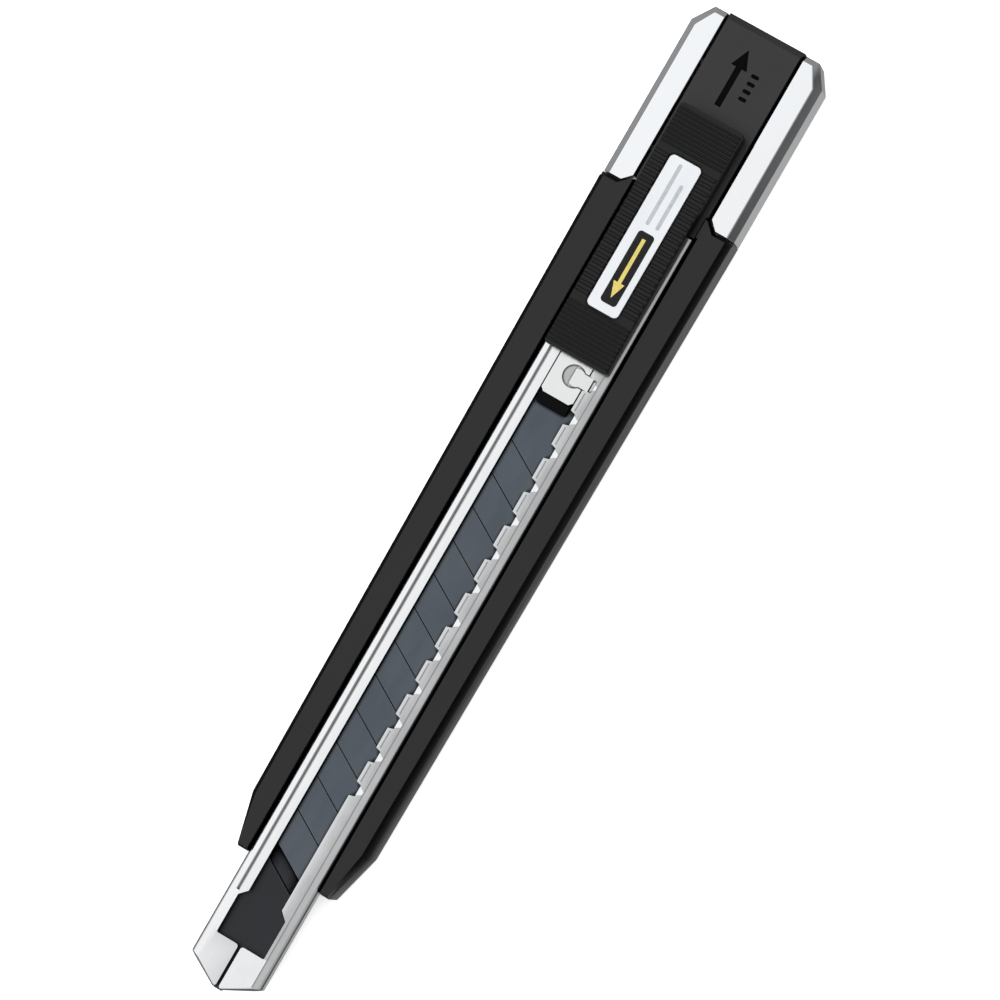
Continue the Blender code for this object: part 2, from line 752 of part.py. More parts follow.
def make_lock_pawl():
    """A stamping whose finger sits in a notch: a base and tail under the plate, a boss and finger above."""
    station = WINDOW_CENTRE[0]
    centre = (station, PAWL_HEAD_ACROSS)
    flat = math.degrees(math.asin((PAWL_HEAD_FLAT - PAWL_HEAD_ACROSS) / PAWL_HEAD))
    waist = math.degrees(math.acos(PAWL_FINGER_HALF / PAWL_HEAD))
    right = arc(centre, PAWL_HEAD, flat, waist, 10)
    left = [(2 * station - s, y) for s, y in reversed(right)]
    finger = [
        (station + PAWL_FINGER_HALF, PAWL_FINGER_END),
        (station - PAWL_FINGER_HALF, PAWL_FINGER_END),
    ]
    boss = plate(right + finger + left, (PAWL_BASE_Z[0], PAWL_TOP))
    wing, wing_side = PAWL_WING
    base = box((station - wing, station + wing), wing_side, PAWL_BASE_Z)
    near, far = TAIL_SIDE
    tail = [
        (station + 1.0, near),
        (TAIL_END, near),
        (TAIL_END - (far - near), far),
        (station + 1.0, far),
    ]
    join(boss, base, plate(tail, (PAWL_BASE_Z[0] + 0.01, PAWL_BASE_Z[1] - 0.01)))
    return part("lock_pawl", boss, "spring_steel", "pawl_frame")


def make_pawl_spring():
    """A bow spring between the holder's ledge and the pawl's tail."""
    steps = 12
    outer = []
    for i in range(steps + 1):
        t = -1 + 2 * i / steps
        across = BOW_FOOT + (BOW_CROWN - BOW_FOOT) * math.cos(t * math.pi / 2)
        outer.append((BOW_MIDDLE + BOW_REACH * t, across))
    inner = [(s, y - BOW_THICK) for s, y in reversed(outer)]
    spring = plate(outer + inner, (PAWL_BASE_Z[0] + 0.01, PAWL_BASE_Z[1] - 0.01))
    return part("pawl_spring", spring, "spring_steel", "carrier_frame")


# ---------------------------------------------------------------- thumb button

def make_slider_button():
    half = BUTTON_HALF
    bottom, top = BUTTON_Z
    button = box(BUTTON, (-half, half), BUTTON_Z)
    soften(button, BUTTON_CORNER / 2, 2)
    wall = BUTTON_WALL
    hollow = box(
        (BUTTON[0] + wall, BUTTON[1] - wall),
        (-half + wall, half - wall),
        (bottom - FAR, top - BUTTON_ROOF),
    )
    seat_half = LABEL_HALF + LABEL_FIT
    seat_stations = (LABEL[0] - LABEL_FIT, LABEL[1] + LABEL_FIT)
    seat_outline = rounded(seat_stations, (-seat_half, seat_half), LABEL_CORNER)
    cut(button, hollow, plate(seat_outline, (top - LABEL_SINK, top + FAR)))
    roof = top - BUTTON_ROOF + 0.3
    corner_sum = TAIL_END + TAIL_SIDE[0] + POST_GAP
    post = [
        (corner_sum - POST_REACH, POST_REACH),
        (POST_REAR, POST_REACH),
        (POST_REAR, corner_sum - POST_REAR),
    ]
    leg = box(LEG, (-LEG_HALF, LEG_HALF), (LEG_FOOT_Z[0], roof))
    foot = box(LEG, (-LEG_FOOT_HALF, LEG_FOOT_HALF), LEG_FOOT_Z)
    join(button, plate(post, (PAWL_BASE_Z[0] + 0.03, roof)), leg, foot)
    return part("slider_button", button, "black_ribbed", "thumb_frame")


def make_slider_label():
    top = BUTTON_Z[1]
    outline = rounded(LABEL, (-LABEL_HALF, LABEL_HALF), LABEL_CORNER)
    label = plate(outline, (top - LABEL_SINK + 0.04, top + LABEL_PROUD))
    return part("slider_label", label, "label_white", "thumb_frame")


# ---------------------------------------------------------------- tail cap

def core_outline(end_inset, side_inset):
    half = CORE_HALF - side_inset
    neck = CORE_NECK_HALF - side_inset
    side = [
        (CAP_FRONT, neck),
        (CORE_NECK_REAR, neck),
        (CORE_NECK_REAR, half),
        (LENGTH - end_inset, half),
    ]
    return side + mirrored(side)


def make_tail_core():
    core = stack([
        (0.0, core_outline(FOOT_BEVEL, 0.0)),
        (FOOT_BEVEL, core_outline(0.0, 0.0)),
        (CORE_TOP - CORE_END_DEPTH, core_outline(0.0, 0.0)),
        (CORE_TOP, core_outline(CORE_END_BEVEL, CORE_SIDE_BEVEL)),
    ])
    wide = CORE_HALF + FAR
    step = box((CAP_FRONT - FAR, RAIL_CORNER + FIT / 2), (-wide, wide), (-FAR, TROUGH_FLOOR + FIT))
    plug = box((PLUG_FRONT, CORE_NECK_REAR + 1), (-PLUG_HALF, PLUG_HALF), PLUG_Z)
    bore = box((PLUG_FRONT - FAR, LENGTH - 4), (-PLUG_BORE_HALF, PLUG_BORE_HALF), PLUG_BORE_Z)
    cut(core, step)
    join(core, plug)
    cut(core, bore)
    sockets = []
    for station in PEG_STATIONS:
        for side in (-1, 1):
            sockets.append(cross_peg(station, side, PEG_REACH + 0.4, PEG_RADIUS + PEG_CLEAR))
    cut(core, merged(sockets))
    return part("tail_core", core, "black_plastic", "cap_frame")


def cross_peg(station, side, reach, radius):
    """A peg that lies across the knife, from a cheek's inner face into the core."""
    peg = disc(LENGTH / 2, 0.0, (-reach - PEG_ROOT, PEG_ROOT), radius, 16)
    peg.data.transform(Matrix.Rotation(math.radians(-90 * side), 4, "X"))
    peg.data.transform(Matrix.Translation(at(station, side * CHEEK_INNER, PEG_HEIGHT)))
    return peg


def cheek_outline(side, bevel):
    """Plan of a silver cheek. The bevel draws in the outer side, the cut corner and the end."""
    inner, outer = CHEEK_INNER, CHEEK_OUTER - bevel
    diagonal = bevel * CHEEK_DIAGONAL_SHARE
    end = CHEEK_REAR - bevel * CHEEK_END_SHARE
    corner = CHEEK_FRONT_CORNER
    half = [
        (CHEEK_FRONT, outer),
        (CHEEK_FRONT, inner + corner),
        (CHEEK_FRONT + corner, inner),
        (end, inner),
        (end, CHEEK_OUTER - CHEEK_CUT_ACROSS - diagonal),
        (CHEEK_REAR - CHEEK_CUT_ALONG - diagonal, outer),
    ]
    return half if side > 0 else mirrored(half)


def make_cheek(name, side):
    cheek = stack([
        (0.0, cheek_outline(side, FOOT_BEVEL)),
        (FOOT_BEVEL, cheek_outline(side, 0.0)),
        (CHEEK_TOP - CHEEK_BEVEL_DEPTH, cheek_outline(side, 0.0)),
        (CHEEK_TOP, cheek_outline(side, CHEEK_BEVEL)),
    ])
    pegs = [cross_peg(station, side, PEG_REACH, PEG_RADIUS) for station in PEG_STATIONS]
    join(cheek, merged(pegs))
    return part(name, cheek, "silver_plated", "cap_frame")


def main():
    clear_scene()
    joint_frame("carrier_frame", at(HOLDER_BLOCK[0], 0, FACE))
    joint_frame("thumb_frame", at(sum(BUTTON) / 2, 0, BUTTON_Z[0]))
    joint_frame("pawl_frame", at(*WINDOW_CENTRE, PAWL_TOP))
    joint_frame("cap_frame", at(CAP_FRONT, 0, PEG_HEIGHT))

    make_handle_body()
    make_back_cover()
    make_sheath()
    make_nose_guide()
    make_magazine_spring()
    for i in range(1, SPARES + 1):
        spare_top = BLADE_TOP - i * (BLADE_THICK + SPARE_GAP)
        make_blade(f"spare_blade_{i}", SPARE_TIP_MID, spare_top)

    make_blade("blade", BLADE_TIP_MID, BLADE_TOP, "carrier_frame")
    make_blade_holder()
    make_carrier_plate()
    make_carrier_rivets()
    make_lock_pawl()
    make_pawl_spring()
    make_slider_button()
    make_slider_label()

    make_tail_core()
    make_cheek("cheek_left", -1)
    make_cheek("cheek_right", 1)


main()
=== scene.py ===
"""Looks for the snap-off knife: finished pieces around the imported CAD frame, materials, light and camera.

Frame: +X runs along the knife towards the blade tip, +Y towards the cutting edge, +Z out of the
thumb side, and the knife lies on its back on Z = 0. Sizes below are millimetres. A station is a
distance from the nose tip towards the tail, as in the CAD, and at() turns it into metres.
"""

import json
import math

import bmesh
import bpy
from mathutils import Matrix, Vector


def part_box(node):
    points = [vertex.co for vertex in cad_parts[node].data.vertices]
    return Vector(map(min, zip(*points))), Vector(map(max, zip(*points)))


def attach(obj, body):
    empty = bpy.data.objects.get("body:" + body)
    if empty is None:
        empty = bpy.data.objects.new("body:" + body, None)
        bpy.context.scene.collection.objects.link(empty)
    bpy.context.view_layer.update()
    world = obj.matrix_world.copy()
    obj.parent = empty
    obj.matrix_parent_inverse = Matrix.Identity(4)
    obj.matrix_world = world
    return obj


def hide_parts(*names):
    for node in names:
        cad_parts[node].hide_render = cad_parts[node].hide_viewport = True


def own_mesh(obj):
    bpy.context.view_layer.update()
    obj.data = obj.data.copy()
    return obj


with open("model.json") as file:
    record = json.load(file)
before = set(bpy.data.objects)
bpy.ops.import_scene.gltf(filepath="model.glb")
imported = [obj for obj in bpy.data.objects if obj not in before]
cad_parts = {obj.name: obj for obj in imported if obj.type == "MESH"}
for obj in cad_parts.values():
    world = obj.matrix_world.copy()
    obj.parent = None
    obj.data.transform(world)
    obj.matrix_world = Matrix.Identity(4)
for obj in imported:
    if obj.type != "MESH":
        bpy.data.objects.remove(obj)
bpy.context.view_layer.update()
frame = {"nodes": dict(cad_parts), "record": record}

MM = 0.001
NOSE_X = max(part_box(name)[1].x for name in frame["nodes"])
BODY_OF = {n: body for body, nodes in frame["record"]["behaviour"]["bodies"].items() for n in nodes}


def mm_box(node):
    """A CAD node's box in millimetres: stations, acrosses and heights, each as (low, high)."""
    low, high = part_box(node)
    stations = ((NOSE_X - high.x) / MM, (NOSE_X - low.x) / MM)
    return stations, (low.y / MM, high.y / MM), (low.z / MM, high.z / MM)


SHEATH_S, SHEATH_Y, SHEATH_Z = mm_box("blade_sheath")
BUTTON_S, BUTTON_Y, BUTTON_Z = mm_box("slider_button")
LABEL_S, LABEL_Y, LABEL_Z = mm_box("slider_label")
HANDLE_TOP = mm_box("handle_body")[2][1]
CAP_TOP = mm_box("tail_core")[2][1]
BLADE_BOTTOM = mm_box("blade")[2][0]

FACE = SHEATH_Z[1]
ABOVE = FACE + 1                # clear of the sheath's top
BELOW = SHEATH_Z[0] - 1         # clear of its underside
MARGIN = 5.0                    # how far a cutter reaches past the ends of what it cuts

# Sheath
SHEATH_HALF = SHEATH_Y[1]
SHEATH_WALL = 0.45
SHEATH_BEND = 0.5
NOSE_FRONT = 0.15
NOSE_FLAT = 0.6
NOSE_SHOULDER = 2.73
SHOULDER_CORNER = (             # back from the shoulder, and out from the side
    (-0.35, -0.62), (0.0, -0.12), (0.3, 0.01),
)
NOSE_CHAMFER = (0.46, 0.34)     # along the knife and down
SLIT_HALF = 0.225
SLIT_FLARE = 0.4
SLIT_MOUTH = 0.46               # half width at the nose's front
SLIT_FUNNEL = (0.1, 0.42)       # behind that front, where the mouth starts and stops to narrow
WINDOW = (6.4, 12.0)
WINDOW_HALF = 3.6
WINDOW_CORNER = 0.25
TIP_SLOT = (0.8, 0.9)           # length and half width of the slot under the nose
FLOOR_WINDOW = (22.5, 103.0)
FLOOR_WINDOW_HALF = 3.4
LIP_START = 13.05
LEFT_LIP = -2.6
RIGHT_LIP = 2.48
LEFT_GROOVE = (-3.95, 0.25, 0.2)        # each groove: across value, half width and depth
RIGHT_GROOVE = (4.08, 0.11, 0.055)
NOSE_DISH = (0.0, 4.0, 0.18)            # a wide shallow one over the nose
TOOTH_LINE = (2.98, 0.11, 0.05)         # a faint pressed line along each tooth
TOOTH_LINE_INSET = 0.2
LEFT_GROOVE_START = 12.5
RIGHT_GROOVE_START = 2.6
CROWN = (                       # how far the sheath's top falls, by distance from the middle
    (0.0, 0.0), (2.2, 0.0), (2.6, 0.006), (3.0, 0.018), (3.4, 0.036), (3.8, 0.058),
    (4.2, 0.088), (4.6, 0.122), (4.85, 0.145),
)
PITCH = 5.0
NOTCH_COUNT = 13
NOTCH_START = 30.2
NOTCH_GAP = 2.07
NOTCH_DEPTH = 0.74
NOTCH_FLARE = 0.22
PAWL_SLOT_ROOT = 3.6            # the notch that the pawl sits in has a deeper slot
PAWL_SLOT_SPARE = 0.06          # how much wider than the notch's root it is at each end
PAWL_SLOT_CORNER = 0.16
PAWL_SLOT_DEPTH = 0.3
FACET_ROOT = RIGHT_LIP + NOTCH_DEPTH - 0.06     # across value where the slope at a notch starts
FACET_END = RIGHT_GROOVE[0] - 0.1               # and where it ends
FACET_DROP = 0.12
FACET_RISE = 0.004              # how far its cutter comes out above the surface at the end
FACET_HALF = NOTCH_GAP / 2 - NOTCH_FLARE + 0.02
FACET_TIP = 0.2                 # half its width at the narrow end

# Handle
REBATE_S = (-MARGIN, 114.4)     # beside the sheath, in the right rail
REBATE_Y = (5.3, 5.74)
REBATE_DEPTH = 0.9
RAIL_TRIM = (                   # plan of what the rails' ends lose, as (station, across)
    (115.64, 11.0), (115.64, 7.1), (117.02, 5.65), (117.06, 5.2), (118.5, 5.2), (118.5, 11.0),
)
RAIL_TRIM_DEPTH = 1.2

# Nose guide: plan and heights of the lug that shows in the slit's mouth, just below the blade's path
GUIDE_LUG = ((0.06, -0.24), (0.42, -0.4), (0.42, 0.4), (0.06, 0.24))
GUIDE_LUG_HEIGHTS = (FACE - 2, BLADE_BOTTOM - 0.05)

# Thumb button
BUTTON_FLOOR = FACE + 0.3
BUTTON_CORNER = 0.45
BUTTON_ROUND = 0.32
BUTTON_COVER = 0.001            # how far the rounded outer shape clears the ribs' tops
BUTTON_WALL = 1.0
BUTTON_INSIDE = BUTTON_Z[1] - 1.1           # height of the ceiling inside it
RIB_ZONES = ((93.75, 100.0, 0.62), (101.0, 122.4, 1.0), (123.0, 128.4, 0.62))     # start, end, pitch
RIB_HEIGHT = 0.16
RIB_SHARE = 0.55                # a rib's width as a share of the pitch
RIB_SHAPE = (                   # a rib's outline: share of its width, and share of its height down
    (0.0, 1.0), (0.18, 0.25), (0.38, 0.0), (0.62, 0.0), (0.82, 0.25), (1.0, 1.0),
)
CAM_POST = ((96.5, 1.75), (98.05, 1.75), (98.05, 0.2))      # the slanted face draws the pawl in
CAM_FLOOR = FACE - 0.43
LEG_S = (103.4, 104.8)          # the leg reaches down through the plate, and its foot holds below
LEG_HALF = 0.9
FOOT_HALF = 1.5
LEG_FLOOR = FACE - 0.95
FOOT_TOP = FACE - 0.4

# Label and its print
LABEL_CORNER = 0.7
LABEL_MOAT = 0.28
LABEL_BED = 0.04                # how far the recess goes below the plate
PRINT_ROOT = 0.02               # how far the print reaches down into the plate
PRINT_LIFT = 0.008
ARROW_LIFT = 0.014
BAR_S = (101.3, 111.7)
BAR_Y = (-0.95, 1.4)
BAR_CORNER = 0.5
ARROW_S = (102.2, 110.8)        # tip and tail
ARROW_SIZES = (2.2, 0.78, 0.26)       # the head's length and half width, and the shaft's half width
LINE_S = ((112.6, 121.5), (112.6, 119.2))
LINE_Y = (-0.46, 1.0)
LINE_HALF = 0.26
LINE_CORNER = 0.9 * LINE_HALF

# Mark on the tail cap
CAP_ARROW_S = (138.8, 130.6)    # tip and tail
CAP_ARROW_Y = -0.9
CAP_ARROW_SIZES = (2.6, 1.15, 0.42)
GRIP_START = 132.6
GRIP_PITCH = 1.1
GRIP_COUNT = 4
GRIP_WIDTH = 0.5
GRIP_Y = (1.0, 2.1)
GRIP_CORNER = 0.2
MARK_DEPTH = 0.2
INLAY_GAP = 0.03
INLAY_DEPTHS = (0.21, 0.12)     # its underside and its top, below the cap's top

# Pawl
PAWL_BASE_REAR = 93.05          # just behind the flat base
PAWL_BASE_Y = (-1.2, 0.4)       # from outside the base's free edge to the step up to the boss
PAWL_BASE = FACE - 0.26
PAWL_BASE_FALL = 0.1


# ---------------------------------------------------------------- shapes

def at(station, across, height):
    """The point in metres at a station, an across value and a height in millimetres."""
    return Vector((NOSE_X - station * MM, across * MM, height * MM))


def new_object(name, shell):
    """An object that holds the bmesh's shape. The bmesh is freed."""
    bmesh.ops.recalc_face_normals(shell, faces=shell.faces)
    mesh = bpy.data.meshes.new(name)
    shell.to_mesh(mesh)
    shell.free()
    made = bpy.data.objects.new(name, mesh)
    bpy.context.scene.collection.objects.link(made)
    return made


def lofted(rings):
    """A solid through rings of points in metres, closed by a face at each end."""
    shell = bmesh.new()
    corners = [[shell.verts.new(point) for point in ring] for ring in rings]
    count = len(corners[0])
    for near, far in zip(corners, corners[1:]):
        for i in range(count):
            j = (i + 1) % count
            shell.faces.new((near[i], near[j], far[j], far[i]))
    shell.faces.new(corners[0])
    shell.faces.new(corners[-1])
    return new_object("cutter", shell)


def prism(outline, heights):
    """A plate with a (station, across) outline between two heights."""
    return lofted([[at(s, y, height) for s, y in outline] for height in heights])


def sloped(outline, top, bottoms):
    """A plate with a flat top, and with its own underside height at each corner."""
    upper = [at(s, y, top) for s, y in outline]
    return lofted([upper, [at(s, y, height) for (s, y), height in zip(outline, bottoms)]])


def block(stations, acrosses, heights):
    """A plain box."""
    (s0, s1), (y0, y1) = stations, acrosses
    return prism([(s0, y0), (s1, y0), (s1, y1), (s0, y1)], heights)


def lengthwise(profile, stations):
    """A bar with a (across, height) profile between two stations."""
    return lofted([[at(station, y, z) for y, z in profile] for station in stations])


def arc(centre, radius, start, end, steps):
    """Points along an arc, angles in degrees."""
    points = []
    for i in range(steps + 1):
        angle = math.radians(start + (end - start) * i / steps)
        points.append((centre[0] + radius * math.cos(angle), centre[1] + radius * math.sin(angle)))
    return points


def rounded(stations, acrosses, radius, steps=8):
    """A rectangle with round corners."""
    s0, s1 = stations[0] + radius, stations[1] - radius
    y0, y1 = acrosses[0] + radius, acrosses[1] - radius
    corners = (((s1, y1), 0), ((s0, y1), 90), ((s0, y0), 180), ((s1, y0), 270))
    return [p for centre, turn in corners for p in arc(centre, radius, turn, turn + 90, steps)]


def arrow(ends, middle, head, wing, shaft):
    """Plan of an arrow along the knife, from its tip and tail stations, head length and half widths."""
    tip, tail = ends
    turn = 1 if tail > tip else -1
    neck = tip + turn * head
    half = [(neck, turn * wing), (neck, turn * shaft), (tail, turn * shaft)]
    return [(tip, middle)] + [(s, middle + y) for s, y in half] + [(s, middle - y) for s, y in half[::-1]]


def mirrored(outline):
    """The outline on the other side of the centre line, running the other way round."""
    return [(s, -y) for s, y in reversed(outline)]


def joined(shapes):
    """One cutter made of several separate shapes, which are removed."""
    shell = bmesh.new()
    for shape in shapes:
        shell.from_mesh(shape.data)
        bpy.data.objects.remove(shape, do_unlink=True)
    return new_object("cutter", shell)


def apply_modifiers(piece):
    """Replace the piece's mesh by what its modifiers make of it."""
    bpy.context.view_layer.update()
    graph = bpy.context.evaluated_depsgraph_get()
    mesh = bpy.data.meshes.new_from_object(piece.evaluated_get(graph), depsgraph=graph)
    piece.modifiers.clear()
    piece.data = mesh


def carve(piece, operation, *cutters):
    """Apply one Boolean for each cutter, and remove the cutters."""
    for cutter in cutters:
        modifier = piece.modifiers.new("carve", "BOOLEAN")
        modifier.operation = operation
        modifier.solver = "EXACT"
        modifier.object = cutter
    apply_modifiers(piece)
    for cutter in cutters:
        bpy.data.objects.remove(cutter, do_unlink=True)


def cleaned(piece):
    """Join split corners and turn coplanar triangles back into whole faces."""
    shell = bmesh.new()
    shell.from_mesh(piece.data)
    bmesh.ops.remove_doubles(shell, verts=shell.verts, dist=2e-6)
    flat = math.radians(0.4)
    bmesh.ops.dissolve_limit(shell, angle_limit=flat, verts=shell.verts, edges=shell.edges)
    bmesh.ops.recalc_face_normals(shell, faces=shell.faces)
    shell.to_mesh(piece.data)
    shell.free()
    return piece


def add_bevel(piece, width, segments, angle):
    """A bevel modifier on every edge sharper than the angle."""
    bevel = piece.modifiers.new("bevel", "BEVEL")
    bevel.width = width * MM
    bevel.segments = segments
    bevel.limit_method = "ANGLE"
    bevel.angle_limit = math.radians(angle)
    return bevel


def round_edges(piece, width, segments=2, angle=30):
    """Round every edge sharper than the angle, and shade the result smoothly with flat faces kept flat."""
    bevel = add_bevel(piece, width, segments, angle)
    bevel.harden_normals = True
    bevel.miter_outer = "MITER_ARC"
    piece.data.shade_smooth()
    return piece


def stamped(piece, width, angle=55):
    """Break a sheet metal piece's sharper edges a little, and keep every face flat."""
    add_bevel(piece, width, 2, angle)
    apply_modifiers(piece)
    piece.data.shade_smooth()
    piece.data.set_sharp_from_angle(angle=math.radians(6))
    return piece


def finish_piece(piece, name, body, node, material):
    """Name a piece, give it its material, let it ride on a body, and let it stand for a CAD node."""
    piece.name = name
    piece.data.name = name
    piece.data.materials.clear()
    piece.data.materials.append(material)
    for face in piece.data.polygons:
        face.material_index = 0
    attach(piece, body)
    if node:
        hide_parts(node)
    return piece


def copied(node):
    """A copy of a CAD node's shape, with its flat faces whole."""
    piece = bpy.data.objects.new(node, frame["nodes"][node].data.copy())
    bpy.context.scene.collection.objects.link(piece)
    normals = piece.data.attributes.get("custom_normal")
    if normals:
        piece.data.attributes.remove(normals)
    return cleaned(piece)


def refined(node, name, material, width, segments=2):
    """A copy of a CAD node's shape with its edges rounded."""
    piece = round_edges(copied(node), width, segments)
    return finish_piece(piece, name, BODY_OF[node], node, material)


def dress(node, material):
    """Give a CAD node that stays its material."""
    for slot in frame["nodes"][node].material_slots:
        slot.link = "OBJECT"
        slot.material = material


# ---------------------------------------------------------------- materials

class Nodes:
    """Shader nodes, added to a tree in a few words."""

    def __init__(self, tree, coordinates):
        self.tree = tree
        self.place = tree.nodes.new("ShaderNodeTexCoord").outputs[coordinates]

    def feed(self, socket, value):
        """Link an output to the socket, or give it a number or a colour."""
        if isinstance(value, bpy.types.NodeSocket):
            self.tree.links.new(value, socket)
        else:
            socket.default_value = (*value, 1.0) if isinstance(value, tuple) else value

    def node(self, kind, **inputs):
        """A new node with its inputs fed by name, where an underscore stands for a space."""
        made = self.tree.nodes.new(kind)
        for name, value in inputs.items():
            self.feed(made.inputs[name.replace("_", " ")], value)
        return made

    def ramp(self, factor, *stops):
        """Colours along a factor, given as (place, colour)."""
        made = self.node("ShaderNodeValToRGB", Fac=factor)
        elements = made.color_ramp.elements
        while len(elements) < len(stops):
            elements.new(0.5)
        for element, (place, colour) in zip(elements, stops):
            element.position = place
            element.color = (*colour, 1.0)
        return made.outputs["Color"]

    def spread(self, factor, low, high, source=(0.3, 0.7), smooth=False):
        """A factor mapped from a source range onto a range of numbers."""
        start, end = source
        made = self.node("ShaderNodeMapRange", Value=factor, From_Min=start, From_Max=end)
        made.interpolation_type = "SMOOTHSTEP" if smooth else "LINEAR"
        self.feed(made.inputs["To Min"], low)
        self.feed(made.inputs["To Max"], high)
        return made.outputs["Result"]

    def math(self, operation, first, second):
        """The result of an operation on two values."""
        made = self.tree.nodes.new("ShaderNodeMath")
        made.operation = operation
        self.feed(made.inputs[0], first)
        self.feed(made.inputs[1], second)
        return made.outputs["Value"]

    def mix(self, factor, first, second, blend="MIX"):
        """Two colours mixed by a factor."""
        made = self.tree.nodes.new("ShaderNodeMix")
        made.data_type = "RGBA"
        made.blend_type = blend
        self.feed(made.inputs[0], factor)
        self.feed(made.inputs[6], first)
        self.feed(made.inputs[7], second)
        return made.outputs[2]


class Recipe(Nodes):
    """A node material on object coordinates in millimetres."""

    def __init__(self, name):
        self.material = bpy.data.materials.new(name)
        self.material.use_nodes = True
        super().__init__(self.material.node_tree, "Object")
        self.shader = self.tree.nodes["Principled BSDF"]

    def stretched(self, along, across, up):
        """Coordinates in millimetres, squeezed by a factor on each axis."""
        mapping = self.node("ShaderNodeMapping", Vector=self.place)
        mapping.inputs["Scale"].default_value = (along / MM, across / MM, up / MM)
        return mapping.outputs["Vector"]

    def noise(self, where, scale, detail, roughness=0.55):
        """A noise pattern, most of it between 0.3 and 0.7."""
        made = self.node("ShaderNodeTexNoise", Vector=where, Scale=scale, Detail=detail, Roughness=roughness)
        return made.outputs["Fac"]

    def edges(self, radius):
        """Nought on flat faces, and higher where the surface turns sharply."""
        bevel = self.node("ShaderNodeBevel", Radius=radius * MM)
        bevel.samples = 4
        geometry = self.node("ShaderNodeNewGeometry")
        dot = self.node("ShaderNodeVectorMath")
        dot.operation = "DOT_PRODUCT"
        self.feed(dot.inputs[0], bevel.outputs["Normal"])
        self.feed(dot.inputs[1], geometry.outputs["True Normal"])
        return self.math("SUBTRACT", 1.0, dot.outputs["Value"])

    def shaded(self, distance, closed, open_air, low=0.04):
        """One on open surfaces, falling to a low value in gaps and close under overhangs."""
        # A factor for painted shade, from ambient occlusion.
        made = self.node("ShaderNodeAmbientOcclusion", Distance=distance * MM)
        made.samples = 8
        return self.spread(made.outputs["AO"], low, 1.0, (closed, open_air))

    def bump(self, height, strength, depth):
        """Press a height pattern into the surface, with its depth in millimetres."""
        made = self.node("ShaderNodeBump", Height=height, Strength=strength, Distance=depth * MM)
        self.feed(self.shader.inputs["Normal"], made.outputs["Normal"])

    def set(self, **inputs):
        """Feed the shader, and hand over the material."""
        for name, value in inputs.items():
            self.feed(self.shader.inputs[name.replace("_", " ")], value)
        return self.material


def moulded_black(name, dark, light, gloss, ior=1.42, depth=0.012, edge_highlight=None, shade=(0.9, 0.45, 0.85)):
    """Black moulded plastic: a fine spark-eroded grain, cloudy sheen, and painted shade in its gaps."""
    r = Recipe(name)
    cloud = r.noise(r.stretched(0.05, 0.2, 0.2), 1.0, 3.0)
    fine = r.noise(r.stretched(1, 1, 1), 5.0, 4.0, 0.6)
    speck = r.noise(r.stretched(1, 1, 1), 15.5, 2.0, 0.7)
    tone = r.math("ADD", r.math("MULTIPLY", cloud, 0.6), r.math("MULTIPLY", fine, 0.4))
    colour = r.ramp(tone, (0.3, dark), (0.7, light))
    # Painted highlight: the edges are mixed towards a lighter colour.
    if edge_highlight:
        colour = r.mix(r.spread(r.edges(0.16), 0.0, 1.0, (0.01, 0.2)), colour, edge_highlight)
    # Painted shade: the colour darkens in gaps and close under overhangs.
    clear = r.shaded(*shade)
    colour = r.mix(1.0, colour, clear, "MULTIPLY")
    rough = r.math("ADD", r.spread(cloud, gloss - 0.03, gloss + 0.04), r.spread(speck, -0.03, 0.03))
    r.bump(r.math("ADD", fine, r.math("MULTIPLY", speck, 0.5)), 0.35, depth)
    # Painted shade on the gloss too: the specular level falls in the same gaps.
    sheen = r.math("MULTIPLY", clear, 0.5)
    return r.set(Base_Color=colour, Roughness=rough, IOR=ior, Specular_IOR_Level=sheen)


def rolled_steel(name, dark, light, gloss):
    """Bright sheet with a lengthwise grain, faint smudges, hairline scratches, painted shade in creases."""
    r = Recipe(name)
    lines = r.noise(r.stretched(0.05, 9.0, 9.0), 1.0, 5.0, 0.6)
    hair = r.noise(r.stretched(0.12, 34.0, 34.0), 1.0, 2.0, 0.5)
    smudge = r.noise(r.stretched(0.22, 0.5, 0.5), 1.0, 4.0, 0.55)
    tone = r.math("ADD", r.math("MULTIPLY", lines, 0.35), r.math("MULTIPLY", smudge, 0.65))
    colour = r.ramp(tone, (0.3, dark), (0.7, light))
    # Painted shade: the colour darkens in creases and gaps.
    colour = r.mix(1.0, colour, r.shaded(0.35, 0.55, 0.93, 0.1), "MULTIPLY")
    rough = r.math("ADD", r.spread(smudge, gloss - 0.03, gloss + 0.05), r.spread(hair, -0.02, 0.03))
    r.bump(r.math("ADD", lines, r.math("MULTIPLY", hair, 0.4)), 0.5, 0.002)
    return r.set(Base_Color=colour, Roughness=rough, Metallic=1.0)


def plated(name):
    """Bright plating over a smooth moulding: very even, with a faint orange peel."""
    r = Recipe(name)
    peel = r.noise(r.stretched(0.5, 0.5, 0.5), 1.0, 2.0)
    cloud = r.noise(r.stretched(0.06, 0.2, 0.2), 1.0, 3.0)
    speck = r.noise(r.stretched(1, 1, 1), 6.0, 2.0, 0.7)
    colour = r.ramp(cloud, (0.3, (0.845, 0.865, 0.885)), (0.7, (0.885, 0.9, 0.915)))
    rough = r.math("ADD", r.spread(cloud, 0.1, 0.16), r.spread(speck, -0.01, 0.02))
    r.bump(r.math("ADD", peel, r.math("MULTIPLY", speck, 0.1)), 0.25, 0.01)
    return r.set(Base_Color=colour, Roughness=rough, Metallic=1.0)


